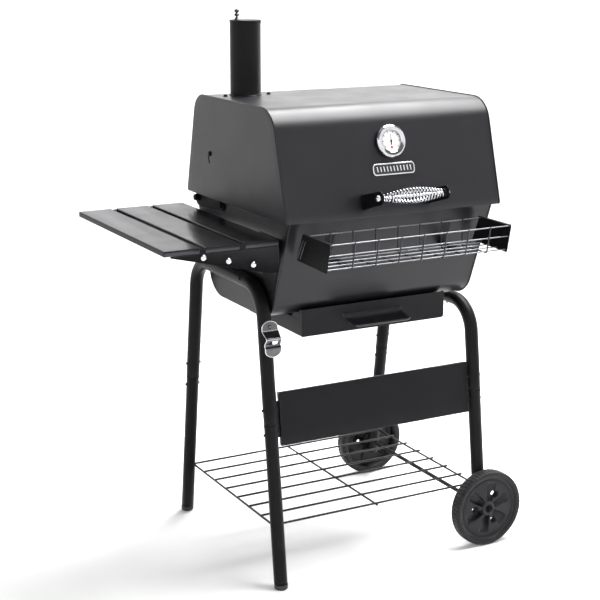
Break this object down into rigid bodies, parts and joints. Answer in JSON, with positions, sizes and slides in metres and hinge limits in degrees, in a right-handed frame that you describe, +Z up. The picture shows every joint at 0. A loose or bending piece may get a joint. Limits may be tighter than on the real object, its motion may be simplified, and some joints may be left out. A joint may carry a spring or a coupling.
{
  "type": "charcoal barrel grill with chimney",
  "caption": "Charcoal barrel grill on a wheeled tube stand: hinged lid with a chimney and thermometer, slatted side shelf, wire basket, ash drawer and wire bottom shelf.",
  "frame": {"origin": "centre of the underside of the whole grill's bounding box, on the ground", "axes": "+Z up, front (lid handle and basket side) towards -Y, side shelf towards -X, wheels towards +X"},
  "size_m": [0.905, 0.6764, 1.2567],
  "materials": {
    "badge_metal": "satin",
    "black_bracket": "satin black",
    "black_nut": "black push nut",
    "black_paint": "satin black powder coat",
    "bright_steel": "bright, lightly brushed",
    "chrome": "polished",
    "coated_wire": "black coated wire",
    "dial": "printed white",
    "foot_plastic": "moulded",
    "iron": "matt enamel on iron wire",
    "lens": "clear",
    "needle": "matt black",
    "plated_wire": "bright plated wire",
    "slat_paint": "smooth semi-gloss black powder coat",
    "steel": "zinc plated",
    "wheel_plastic": "moulded"
  },
  "bodies": {
    "stand": {"axle": "steel", "basket_bracket_left": "black_paint", "basket_bracket_right": "black_paint", "bottle_opener": "bright_steel", "charcoal_grate": "iron", "cooking_grate_left": "iron", "cooking_grate_right": "iron", "drawer_rail_left": "black_paint", "drawer_rail_right": "black_paint", "firebox_left_end": "black_paint", "firebox_right_end": "black_paint", "firebox_skin": "black_paint", "foot_front_left": "foot_plastic", "foot_rear_left": "foot_plastic", "front_panel": "black_paint", "hinge_plate_left": "black_bracket", "hinge_plate_right": "black_bracket", "lower_tube_front_left": "black_paint", "lower_tube_front_right": "black_paint", "lower_tube_rear_left": "black_paint", "lower_tube_rear_right": "black_paint", "shelf_bracket_front": "black_paint", "shelf_bracket_rear": "black_paint", "shelf_slat_1": "slat_paint", "shelf_slat_2": "slat_paint", "shelf_slat_3": "slat_paint", "tool_peg_1": "bright_steel", "tool_peg_2": "bright_steel", "tool_peg_3": "bright_steel", "upper_tube_left": "black_paint", "upper_tube_right": "black_paint", "wire_shelf": "coated_wire"},
    "lid": {"badge_plate": "badge_metal", "chimney_pipe": "black_paint", "handle_bracket_left": "black_bracket", "handle_bracket_right": "black_bracket", "handle_grip": "chrome", "handle_rod": "chrome", "lid_left_end": "black_paint", "lid_right_end": "black_paint", "lid_skin": "black_paint", "thermometer_case": "chrome", "thermometer_dial": "dial", "thermometer_lens": "lens"},
    "chimney_cap": {"chimney_cap": "black_paint", "cap_knob": "steel"},
    "needle": {"thermometer_needle": "needle"},
    "rack": {"warming_rack": "plated_wire"},
    "drawer": {"ash_drawer": "black_paint", "drawer_pull": "black_paint"},
    "basket": {"basket_end_left": "black_paint", "basket_end_right": "black_paint", "basket_wires": "plated_wire"},
    "damper": {"air_damper": "black_paint"},
    "wheel_front": {"wheel_front": "wheel_plastic", "wheel_nut_front": "black_nut"},
    "wheel_rear": {"wheel_rear": "wheel_plastic", "wheel_nut_rear": "black_nut"}
  },
  "joints": [
    {"name": "lid_hinge", "type": "hinge", "parent": "stand", "child": "lid", "pos_m": [0.0875, 0.23083, 0.817], "axis": [-1, 0, 0], "range_deg": [0, 85]},
    {"name": "cap_swivel", "type": "hinge", "parent": "lid", "child": "chimney_cap", "pos_m": [-0.1175, 0.13383, 1.229], "axis": [0, 0, 1], "range_deg": [0, 150]},
    {"name": "needle_turn", "type": "hinge", "parent": "lid", "child": "needle", "pos_m": [0.0895, -0.19853, 0.98462], "axis": [0, -0.9629, 0.2697], "range_deg": [-135, 135]},
    {"name": "rack_swing", "type": "hinge", "parent": "lid", "child": "rack", "pos_m": [0.0875, 0.13723, 0.9324], "axis": [1, 0, 0], "range_deg": [0, 85]},
    {"name": "drawer_slide", "type": "slide", "parent": "stand", "child": "drawer", "axis": [0, -1, 0], "range_m": [0, 0.2]},
    {"name": "basket_off", "type": "slide", "parent": "stand", "child": "basket", "axis": [0, -1, 0], "range_m": [0, 0.12]},
    {"name": "damper_turn", "type": "hinge", "parent": "stand", "child": "damper", "pos_m": [0.3495, 0.01783, 0.668], "axis": [1, 0, 0], "range_deg": [0, 60]},
    {"name": "wheel_front_spin", "type": "hinge", "parent": "stand", "child": "wheel_front", "pos_m": [0.3605, -0.22217, 0.092], "axis": [0, 1, 0], "continuous": true},
    {"name": "wheel_rear_spin", "type": "hinge", "parent": "stand", "child": "wheel_rear", "pos_m": [0.3605, 0.31783, 0.092], "axis": [0, 1, 0], "continuous": true}
  ],
  "couplings": [
    {"joint": "rack_swing", "follows": "lid_hinge", "ratio": 1}
  ]
}
